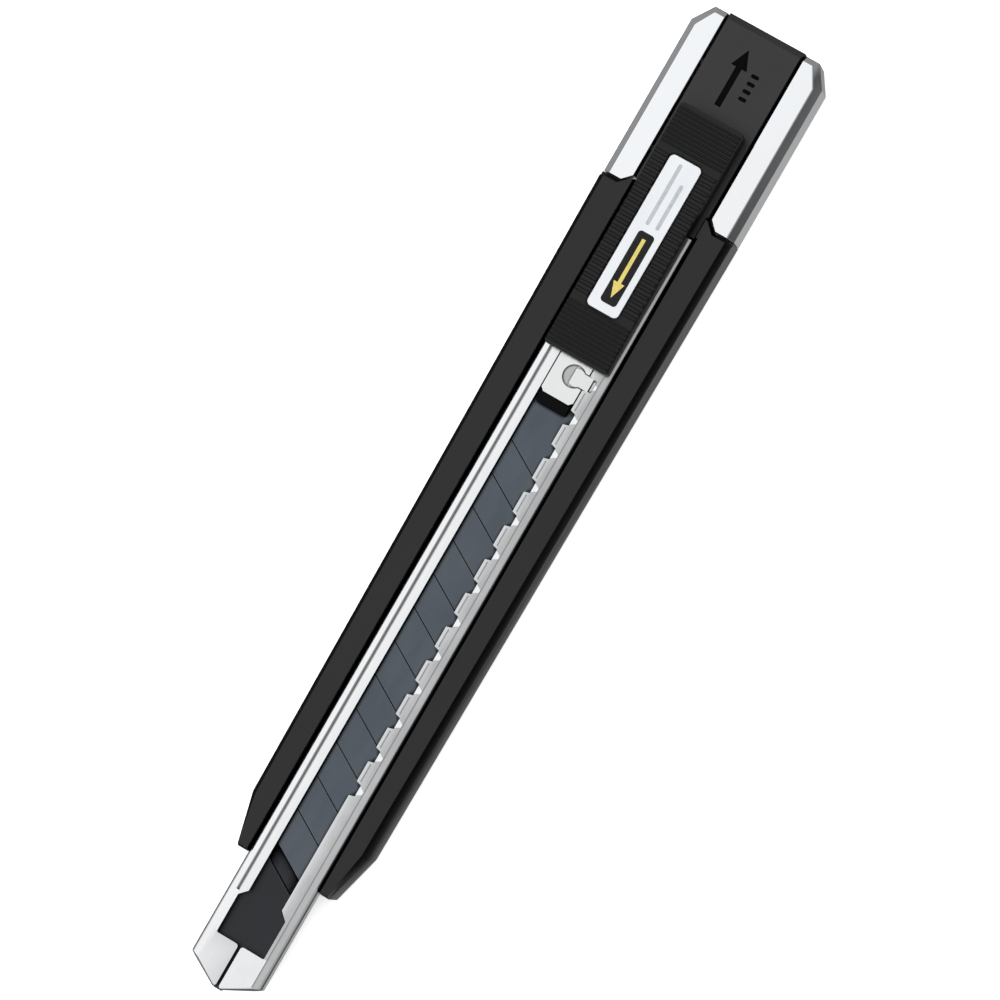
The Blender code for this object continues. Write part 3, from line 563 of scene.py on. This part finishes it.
def blade_steel(name, dark, light, edge, shade):
    """Dark ground carbon steel: fine cross-ground lines, a blue-grey oil sheen that drifts along it.

    Its edges carry a painted highlight, and painted shade darkens it close under the lips and the blade
    above.
    """
    r = Recipe(name)
    ground = r.noise(r.stretched(16.0, 0.4, 4.0), 1.0, 4.0, 0.6)
    cloud = r.noise(r.stretched(0.09, 0.35, 0.35), 1.0, 4.0, 0.5)
    speck = r.noise(r.stretched(1, 1, 1), 5.0, 3.0, 0.6)
    tone = r.math("ADD", r.math("MULTIPLY", ground, 0.25), r.math("MULTIPLY", cloud, 0.75))
    colour = r.ramp(tone, (0.32, dark), (0.68, light))
    # Painted highlight: the edges are mixed towards a lighter colour.
    colour = r.mix(r.spread(r.edges(0.12), 0.0, 0.8, (0.02, 0.2)), colour, edge)
    # Painted shade: the colour darkens close under the lips and under the blade above.
    colour = r.mix(1.0, colour, r.shaded(*shade), "MULTIPLY")
    rough = r.math("ADD", r.spread(cloud, 0.17, 0.24), r.spread(speck, -0.02, 0.02))
    r.bump(r.math("ADD", ground, r.math("MULTIPLY", speck, 0.5)), 0.4, 0.002)
    return r.set(Base_Color=colour, Roughness=rough, Metallic=1.0)


def satin_white(name):
    """White plastic plate: satin, very slightly cloudy."""
    r = Recipe(name)
    cloud = r.noise(r.stretched(0.15, 0.4, 0.4), 1.0, 4.0)
    fine = r.noise(r.stretched(1, 1, 1), 7.0, 3.0, 0.6)
    colour = r.ramp(cloud, (0.3, (0.585, 0.605, 0.63)), (0.7, (0.63, 0.65, 0.67)))
    r.bump(fine, 0.2, 0.004)
    return r.set(Base_Color=colour, Roughness=r.spread(fine, 0.3, 0.42))


def ink(name, dark, light):
    """Screen-printed ink with slightly uneven cover."""
    r = Recipe(name)
    cover = r.noise(r.stretched(1, 1, 1), 3.0, 4.0, 0.6)
    fine = r.noise(r.stretched(1, 1, 1), 14.0, 2.0, 0.6)
    colour = r.ramp(cover, (0.3, dark), (0.7, light))
    r.bump(fine, 0.25, 0.003)
    return r.set(Base_Color=colour, Roughness=r.spread(fine, 0.34, 0.5), IOR=1.3)


def make_materials():
    """Every material, by the short name that the pieces use."""
    return {
        "rail": moulded_black(
            "rail_black", (0.001, 0.0009, 0.001), (0.0019, 0.0017, 0.0018), 0.28, ior=1.48,
        ),
        "cover": moulded_black("cover_black", (0.008, 0.008, 0.0085), (0.012, 0.0115, 0.012), 0.48),
        "cap": moulded_black(
            "cap_black", (0.017, 0.0157, 0.0164), (0.022, 0.0205, 0.0212), 0.46,
            depth=0.018, shade=(0.6, 0.5, 0.9),
        ),
        "mark": moulded_black(
            "mark_black", (0.0012, 0.0012, 0.0013), (0.0025, 0.0025, 0.0025), 0.6, ior=1.12,
        ),
        "button": moulded_black(
            "button_black", (0.0026, 0.0029, 0.0028), (0.0042, 0.0046, 0.0045), 0.34,
            ior=1.37, shade=(1.2, 0.48, 0.74),
        ),
        "holder": moulded_black(
            "holder_black", (0.002, 0.002, 0.002), (0.0035, 0.0035, 0.0035), 0.6, ior=1.14,
        ),
        # The guide gets a painted highlight along its edges.
        "guide": moulded_black(
            "guide_black", (0.005, 0.006, 0.008), (0.009, 0.0105, 0.0135), 0.32,
            ior=1.4, edge_highlight=(0.09, 0.1, 0.11), shade=(0.5, 0.5, 0.85),
        ),
        "sheath": rolled_steel("sheath_steel", (0.74, 0.75, 0.76), (0.83, 0.84, 0.85), 0.16),
        "plate": rolled_steel("plate_steel", (0.76, 0.765, 0.77), (0.84, 0.845, 0.85), 0.15),
        "pawl": rolled_steel("pawl_steel", (0.74, 0.745, 0.75), (0.82, 0.825, 0.83), 0.15),
        "spring": rolled_steel("spring_steel", (0.45, 0.46, 0.48), (0.55, 0.56, 0.58), 0.28),
        "rivet": rolled_steel("rivet_steel", (0.55, 0.56, 0.57), (0.65, 0.66, 0.67), 0.3),
        "blade": blade_steel(
            "blade_steel", (0.078, 0.092, 0.11), (0.112, 0.128, 0.147),
            edge=(0.22, 0.235, 0.26), shade=(0.8, 0.64, 0.88),
        ),
        # Painted shade: the spare is the blade's steel painted darker, as if under the working blade.
        "spare": blade_steel(
            "spare_steel", (0.03, 0.033, 0.038), (0.042, 0.046, 0.052),
            edge=(0.07, 0.076, 0.085), shade=(2.0, 0.72, 0.985),
        ),
        "chrome": plated("cap_silver"),
        "label": satin_white("label_white"),
        "ink_black": ink("ink_black", (0.005, 0.0045, 0.005), (0.011, 0.0105, 0.011)),
        "ink_yellow": ink("ink_yellow", (0.52, 0.42, 0.1), (0.62, 0.52, 0.16)),
        "ink_grey": ink("ink_grey", (0.33, 0.35, 0.37), (0.43, 0.45, 0.47)),
    }


# ---------------------------------------------------------------- sheath

def sheath_height(across):
    """Height of the sheath's upper surface, which falls a little towards the sides."""
    out = abs(across)
    for (y0, drop0), (y1, drop1) in zip(CROWN, CROWN[1:]):
        if out <= y1:
            return FACE - drop0 - (drop1 - drop0) * (out - y0) / (y1 - y0)
    return FACE - CROWN[-1][1]


def sheath_profile():
    """The sheath's cross-section as (across, height), from the top's middle round and back.

    The upper bends start at 84 degrees instead of 90, to run on from the crown's slope.
    """
    edge = SHEATH_HALF - SHEATH_BEND
    low = SHEATH_Z[0] + SHEATH_BEND
    top = sheath_height(edge) - SHEATH_BEND
    half = [(y, FACE - drop) for y, drop in CROWN if y < edge]
    half += arc((edge, top), SHEATH_BEND, 84, 0, 7)
    half += arc((edge, low), SHEATH_BEND, 0, -90, 7)
    half.append((0.0, SHEATH_Z[0]))
    return half + [(-y, z) for y, z in reversed(half)][1:-1]


def sheath_plan():
    """Plan of the whole sheath, a hair wider than the sheath along its sides."""
    side = [(NOSE_FRONT, NOSE_FLAT)]
    side += [(NOSE_SHOULDER + back, SHEATH_HALF + out) for back, out in SHOULDER_CORNER]
    side.append((SHEATH_S[1], side[-1][1]))
    return side + mirrored(side)


def nose_cutter():
    """The sheath's plan as a solid whose top is drawn back along the slanted nose."""
    outline = sheath_plan()
    run, drop = NOSE_CHAMFER
    drawn = [(s + run * (1 + 1 / drop) if s < WINDOW[0] else s, y) for s, y in outline]
    rings = ((BELOW, outline), (FACE - drop, outline), (ABOVE, drawn))
    return lofted([[at(s, y, height) for s, y in ring] for height, ring in rings])


def right_lip():
    """The notched lip's edge, from the front to the rear."""
    points = [(LIP_START, RIGHT_LIP)]
    root = RIGHT_LIP + NOTCH_DEPTH
    for i in range(NOTCH_COUNT):
        start = NOTCH_START + PITCH * i
        end = start + NOTCH_GAP
        points += [(start, RIGHT_LIP), (start + NOTCH_FLARE, root)]
        points += [(end - NOTCH_FLARE, root), (end, RIGHT_LIP)]
    return points


def sheath_opening():
    """Plan of the slit, the window and the slot between the lips."""
    wide, narrow = (NOSE_FRONT + back for back in SLIT_FUNNEL)
    right = [(-MARGIN, SLIT_MOUTH), (wide, SLIT_MOUTH), (narrow, SLIT_HALF)]
    right += arc((WINDOW[0] - SLIT_FLARE, SLIT_HALF + SLIT_FLARE), SLIT_FLARE, -90, 0, 6)
    corner = WINDOW_CORNER
    right += arc((WINDOW[0] + corner, WINDOW_HALF - corner), corner, 180, 90, 5)
    right += [(WINDOW[1], WINDOW_HALF)]
    end = SHEATH_S[1] + MARGIN
    lips = right_lip() + [(end, RIGHT_LIP), (end, LEFT_LIP), (LIP_START, LEFT_LIP)]
    return right + lips + mirrored(right)


def groove_cutter(start, end, across, half, depth):
    """A V groove cut into the sheath's top from above."""
    left, right = across - half, across + half
    profile = [(left, sheath_height(left)), (across, sheath_height(across) - depth)]
    profile += [(right, sheath_height(right)), (right, ABOVE), (left, ABOVE)]
    return lengthwise(profile, (start, end))


def tooth_lines():
    """A short shallow groove along each tooth of the right lip."""
    lines = []
    for i in range(NOTCH_COUNT - 1):
        start = NOTCH_START + NOTCH_GAP + PITCH * i + TOOTH_LINE_INSET
        end = start + PITCH - NOTCH_GAP - 2 * TOOTH_LINE_INSET
        lines.append(groove_cutter(start, end, *TOOTH_LINE))
    return joined(lines)


def notch_facets():
    """The slope pressed behind each notch, narrowing towards the groove."""
    wedges = []
    low = sheath_height(FACET_ROOT) - FACET_DROP
    high = sheath_height(FACET_END) + FACET_RISE
    for i in range(NOTCH_COUNT):
        middle = NOTCH_START + PITCH * i + NOTCH_GAP / 2
        outline = [(middle - FACET_HALF, FACET_ROOT), (middle + FACET_HALF, FACET_ROOT)]
        outline += [(middle + FACET_TIP, FACET_END), (middle - FACET_TIP, FACET_END)]
        wedges.append(sloped(outline, ABOVE, (low, low, high, high)))
    return joined(wedges)


def pawl_slot():
    """The deeper slot in the last notch, with round corners."""
    start = NOTCH_START + PITCH * (NOTCH_COUNT - 1)
    inset = NOTCH_FLARE - PAWL_SLOT_SPARE
    stations = (start + inset, start + NOTCH_GAP - inset)
    plan = rounded(stations, (RIGHT_LIP, PAWL_SLOT_ROOT), PAWL_SLOT_CORNER, 4)
    return prism(plan, (FACE - PAWL_SLOT_DEPTH, ABOVE))


def make_sheath(material):
    """The folded sheet: hollow, open along its top, cut out underneath, grooved and notched."""
    sheath = lengthwise(sheath_profile(), (NOSE_FRONT - 0.5, SHEATH_S[1]))
    inner = SHEATH_HALF - SHEATH_WALL
    inside = (SHEATH_Z[0] + SHEATH_WALL, FACE - SHEATH_WALL)
    through_floor = (BELOW, SHEATH_Z[0] + 2 * SHEATH_WALL)
    hollow = block((-MARGIN, SHEATH_S[1] + MARGIN), (-inner, inner), inside)
    tip = block((-MARGIN, TIP_SLOT[0]), (-TIP_SLOT[1], TIP_SLOT[1]), through_floor)
    floor = block(FLOOR_WINDOW, (-FLOOR_WINDOW_HALF, FLOOR_WINDOW_HALF), through_floor)
    opening = prism(sheath_opening(), (FACE - 2 * SHEATH_WALL, ABOVE))
    end = SHEATH_S[1] + 1
    left = groove_cutter(LEFT_GROOVE_START, end, *LEFT_GROOVE)
    right = groove_cutter(RIGHT_GROOVE_START, end, *RIGHT_GROOVE)
    dish = groove_cutter(-MARGIN, WINDOW[0] + 0.1, *NOSE_DISH)
    carve(sheath, "INTERSECT", nose_cutter())
    carve(sheath, "DIFFERENCE", dish, hollow, tip, floor, opening, notch_facets(), left, right)
    carve(sheath, "DIFFERENCE", tooth_lines(), pawl_slot())
    stamped(cleaned(sheath), 0.055, 32)
    finish_piece(sheath, "sheath_shell", "root", "blade_sheath", material)


# ---------------------------------------------------------------- handle

def make_handle(material):
    """The handle with a rebate beside the sheath, and with its rails' ends drawn back from the cheeks."""
    handle = copied("handle_body")
    above = HANDLE_TOP + 1
    rebate = block(REBATE_S, REBATE_Y, (FACE - REBATE_DEPTH, above))
    ends = [prism(turn(RAIL_TRIM), (FACE - RAIL_TRIM_DEPTH, above)) for turn in (list, mirrored)]
    carve(handle, "DIFFERENCE", rebate, *ends)
    round_edges(cleaned(handle), 0.12, 3)
    finish_piece(handle, "handle_shell", "root", "handle_body", material)


def make_guide(material):
    """The nose guide with a lug that fills the slit's mouth from below."""
    guide = copied("nose_guide")
    carve(guide, "UNION", prism(GUIDE_LUG, GUIDE_LUG_HEIGHTS))
    round_edges(cleaned(guide), 0.04, 2)
    finish_piece(guide, "guide_floor", "root", "nose_guide", material)


# ---------------------------------------------------------------- thumb button and label

def button_profile():
    """Side view of the ribbed button as (station, height), from the rear's bottom over the top."""
    top = BUTTON_Z[1]
    valley = top - RIB_HEIGHT
    points = [(BUTTON_S[0], BUTTON_FLOOR), (BUTTON_S[0], valley)]
    for start, end, pitch in RIB_ZONES:
        count = round((end - start) / pitch)
        step = (end - start) / count
        width = step * RIB_SHARE
        for i in range(count):
            points += [(start + i * step + s * width, top - down * RIB_HEIGHT) for s, down in RIB_SHAPE]
    return points + [(BUTTON_S[1], valley), (BUTTON_S[1], BUTTON_FLOOR)]


def make_button(material):
    """The hollow ribbed slider: a recess for its label on top, and its cam post and leg underneath."""
    half = BUTTON_Y[1]
    button = lofted([[at(s, y, z) for s, z in button_profile()] for y in (-half, half)])
    plan = rounded(BUTTON_S, (-half, half), BUTTON_CORNER, 6)
    shell = prism(plan, (BUTTON_FLOOR, BUTTON_Z[1] + BUTTON_COVER))
    round_edges(shell, BUTTON_ROUND, 4, 60)
    apply_modifiers(shell)
    carve(button, "INTERSECT", shell)
    moat = rounded(
        (LABEL_S[0] - LABEL_MOAT, LABEL_S[1] + LABEL_MOAT),
        (LABEL_Y[0] - LABEL_MOAT, LABEL_Y[1] + LABEL_MOAT),
        LABEL_CORNER + LABEL_MOAT,
    )
    seat = prism(moat, (LABEL_Z[0] - LABEL_BED, BUTTON_Z[1] + 1))
    hollow = block(
        (BUTTON_S[0] + BUTTON_WALL, BUTTON_S[1] - BUTTON_WALL),
        (-half + BUTTON_WALL, half - BUTTON_WALL),
        (BUTTON_FLOOR - 1, BUTTON_INSIDE),
    )
    carve(button, "DIFFERENCE", seat, hollow)
    root = BUTTON_INSIDE + 0.1
    post = prism(CAM_POST, (CAM_FLOOR, root))
    leg = block(LEG_S, (-LEG_HALF, LEG_HALF), (LEG_FLOOR, root))
    foot = block(LEG_S, (-FOOT_HALF, FOOT_HALF), (LEG_FLOOR, FOOT_TOP))
    carve(button, "UNION", post, leg, foot)
    button.data.shade_flat()
    finish_piece(button, "button_shell", "thumb", "slider_button", material)


def make_label(materials):
    """The white plate and its print: an arrow on a bar, and two plain lines."""
    plate = prism(rounded(LABEL_S, LABEL_Y, LABEL_CORNER, 10), LABEL_Z)
    round_edges(plate, 0.09, 3, 60)
    finish_piece(plate, "label_plate", "thumb", "slider_label", materials["label"])
    root = LABEL_Z[1] - PRINT_ROOT
    flat = LABEL_Z[1] + PRINT_LIFT
    bar = prism(rounded(BAR_S, BAR_Y, BAR_CORNER, 6), (root, flat))
    pointer = prism(arrow(ARROW_S, sum(BAR_Y) / 2, *ARROW_SIZES), (root, LABEL_Z[1] + ARROW_LIFT))
    finish_piece(bar, "print_bar", "thumb", None, materials["ink_black"])
    finish_piece(pointer, "print_arrow", "thumb", None, materials["ink_yellow"])
    lines = []
    for stations, across in zip(LINE_S, LINE_Y):
        acrosses = (across - LINE_HALF, across + LINE_HALF)
        lines.append(prism(rounded(stations, acrosses, LINE_CORNER, 5), (root, flat)))
    finish_piece(joined(lines), "print_lines", "thumb", None, materials["ink_grey"])


# ---------------------------------------------------------------- tail cap

def cap_mark(trim, heights):
    """The arrow and the four grip marks let into the cap, drawn in by a trim."""
    tip, tail = CAP_ARROW_S
    head, wing, shaft = CAP_ARROW_SIZES
    plan = arrow((tip - trim, tail + trim), CAP_ARROW_Y, head, wing - trim, shaft - trim)
    marks = [prism(plan, heights)]
    for i in range(GRIP_COUNT):
        start = GRIP_START + GRIP_PITCH * i
        stations = (start + trim, start + GRIP_WIDTH - trim)
        acrosses = (GRIP_Y[0] + trim, GRIP_Y[1] - trim)
        marks.append(prism(rounded(stations, acrosses, GRIP_CORNER, 4), heights))
    return joined(marks)


def make_tail(materials):
    """The cap's black core with its mark and the mark's dark inlay, and the two silver cheeks."""
    core = copied("tail_core")
    carve(core, "DIFFERENCE", cap_mark(0.0, (CAP_TOP - MARK_DEPTH, CAP_TOP + 1)))
    round_edges(cleaned(core), 0.09)
    finish_piece(core, "cap_core", "tail_cap", "tail_core", materials["cap"])
    inlay = cap_mark(INLAY_GAP, [CAP_TOP - depth for depth in INLAY_DEPTHS])
    finish_piece(inlay, "cap_inlay", "tail_cap", None, materials["mark"])
    for side in ("left", "right"):
        refined("cheek_" + side, "cap_cheek_" + side, materials["chrome"], 0.11, 3)


# ---------------------------------------------------------------- carrier and the rest

def make_pawl(material):
    """The pawl's stamping: its base falls a little towards the step up to the boss and finger."""
    pawl = copied("lock_pawl")
    start = mm_box("lock_pawl")[0][0] - 1
    left, right = PAWL_BASE_Y
    outline = [(start, left), (PAWL_BASE_REAR, left), (PAWL_BASE_REAR, right), (start, right)]
    fallen = PAWL_BASE - PAWL_BASE_FALL
    carve(pawl, "DIFFERENCE", sloped(outline, ABOVE, (PAWL_BASE, PAWL_BASE, fallen, fallen)))
    stamped(cleaned(pawl), 0.05)
    finish_piece(pawl, "pawl_stamping", "pawl", "lock_pawl", material)


def make_pawl_spring(material):
    """The bow spring, edges rounded; the real one flattens to the holder's ledge as the pawl draws in."""
    spring = refined("pawl_spring", "pawl_bow", material, 0.02)
    apply_modifiers(spring)
    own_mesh(spring)


def make_pieces(materials):
    """Every visible piece: rebuilt, refined, or a CAD node that stays and gets its material."""
    make_handle(materials["rail"])
    refined("back_cover", "cover_plate", materials["cover"], 0.05)
    make_sheath(materials["sheath"])
    make_guide(materials["guide"])
    make_button(materials["button"])
    make_label(materials)
    make_tail(materials)
    refined("blade_holder", "holder_block", materials["holder"], 0.06)
    sheet = stamped(copied("carrier_plate"), 0.05)
    finish_piece(sheet, "carrier_sheet", "carrier", "carrier_plate", materials["plate"])
    make_pawl(materials["pawl"])
    make_pawl_spring(materials["spring"])
    dress("blade", materials["blade"])
    dress("magazine_spring", materials["spring"])
    for number in ("1", "2"):
        dress("spare_blade_" + number, materials["spare"])
    for end in ("front", "rear"):
        dress("carrier_rivet_" + end, materials["rivet"])


# ---------------------------------------------------------------- stage

def make_floor():
    """A wide pale floor that glossy surfaces don't reflect."""
    shell = bmesh.new()
    bmesh.ops.create_grid(shell, x_segments=1, y_segments=1, size=3.0)
    floor = new_object("floor", shell)
    r = Recipe("floor_pale")
    cloud = r.noise(r.stretched(0.004, 0.004, 0.004), 1.0, 2.0)
    pale = r.ramp(cloud, (0.3, (0.9, 0.9, 0.9)), (0.7, (0.92, 0.92, 0.92)))
    floor.data.materials.append(
        r.set(Base_Color=pale, Roughness=0.9, Emission_Color=pale, Emission_Strength=0.6)
    )
    floor.visible_glossy = False


LEFT_RAMP = (                   # brightness by direction Z, on the -Y side
    (-1.0, 0.25), (-0.92, 0.06), (-0.86, 0.02), (-0.5, 0.02), (-0.36, 0.3), (-0.1, 0.32),
    (0.05, 0.14), (0.2, 0.14), (0.38, 0.4), (0.6, 0.55), (0.76, 1.05), (1.0, 1.1),
)
RIGHT_RAMP = (                  # and on the +Y side
    (-1.0, 0.43), (-0.92, 0.4), (-0.82, 0.14), (-0.66, 0.015), (-0.34, 0.015), (-0.27, 0.28),
    (-0.06, 0.28), (0.05, 0.07), (0.16, 0.12), (0.35, 0.33), (0.72, 0.4), (0.9, 0.5), (1.0, 0.55),
)
PANEL = (                       # the overhead panel's brightness by direction Y
    (-0.62, 1.05), (-0.42, 1.14), (-0.33, 1.16), (-0.25, 1.06), (-0.152, 1.06), (-0.125, 0.82),
    (-0.087, 0.6), (-0.06, 0.53), (0.0, 0.55), (0.12, 0.55), (0.3, 0.42), (0.55, 0.35),
)
BRIGHTEST = 1.2
TO_LEVEL = (0.0, 1.0, (-1.0, 1.0))      # a direction's coordinate to a place on a ramp


def greys(stops):
    """Ramp stops for brightnesses given by a direction's coordinate."""
    return [((place + 1) / 2, (value / BRIGHTEST,) * 3) for place, value in stops]


def make_world():
    """A soft studio: a wide bright panel overhead that falls off to +Y, over darker banded sides."""
    world = bpy.data.worlds.new("studio")
    bpy.context.scene.world = world
    world.use_nodes = True
    nodes = Nodes(world.node_tree, "Generated")
    split = nodes.node("ShaderNodeSeparateXYZ", Vector=nodes.place)
    height, across = split.outputs["Z"], split.outputs["Y"]
    level = nodes.spread(height, *TO_LEVEL)
    left = nodes.ramp(level, *greys(LEFT_RAMP))
    right = nodes.ramp(level, *greys(RIGHT_RAMP))
    sides = nodes.mix(nodes.spread(across, 0.0, 1.0, (-0.25, 0.25), smooth=True), left, right)
    panel = nodes.ramp(nodes.spread(across, *TO_LEVEL), *greys(PANEL))
    sky = nodes.mix(nodes.spread(height, 0.0, 1.0, (0.78, 0.86), smooth=True), sides, panel)
    background = world.node_tree.nodes["Background"]
    nodes.feed(background.inputs["Color"], sky)
    nodes.feed(background.inputs["Strength"], BRIGHTEST)


def make_fill():
    """A very soft sun that lights matt surfaces and the floor but leaves no glint."""
    light = bpy.data.lights.new("fill", "SUN")
    light.energy = 2.6
    light.angle = math.radians(70)
    lamp = bpy.data.objects.new("fill", light)
    lamp.rotation_euler = (math.radians(8), math.radians(-6), 0)
    lamp.visible_glossy = False
    bpy.context.scene.collection.objects.link(lamp)


def make_camera():
    """Looks down at the thumb side, tilted to the cutting edge, with the knife rising to the right."""
    tilt = math.radians(10.5)
    roll = math.radians(60.0)
    distance = 0.65
    span = 0.12853              # width of the view at the knife, in metres
    target = at(72.73, 0.32, FACE)
    along = Vector((-1, 0, 0))
    across = Vector((0, math.cos(tilt), -math.sin(tilt)))
    right = along * math.cos(roll) + across * math.sin(roll)
    up = along * math.sin(roll) - across * math.cos(roll)
    back = right.cross(up)
    data = bpy.data.cameras.new("camera")
    data.sensor_width = 36.0
    data.lens = data.sensor_width * distance / span
    data.clip_start = 0.01
    data.clip_end = 20.0
    camera = bpy.data.objects.new("camera", data)
    turned = Matrix((right, up, back)).transposed().to_4x4()
    camera.matrix_world = Matrix.Translation(target + back * distance) @ turned
    bpy.context.scene.collection.objects.link(camera)
    bpy.context.scene.camera = camera


def main():
    bpy.context.scene.view_settings.view_transform = "Standard"
    make_camera()
    make_floor()
    make_world()
    make_fill()
    make_pieces(make_materials())


main()
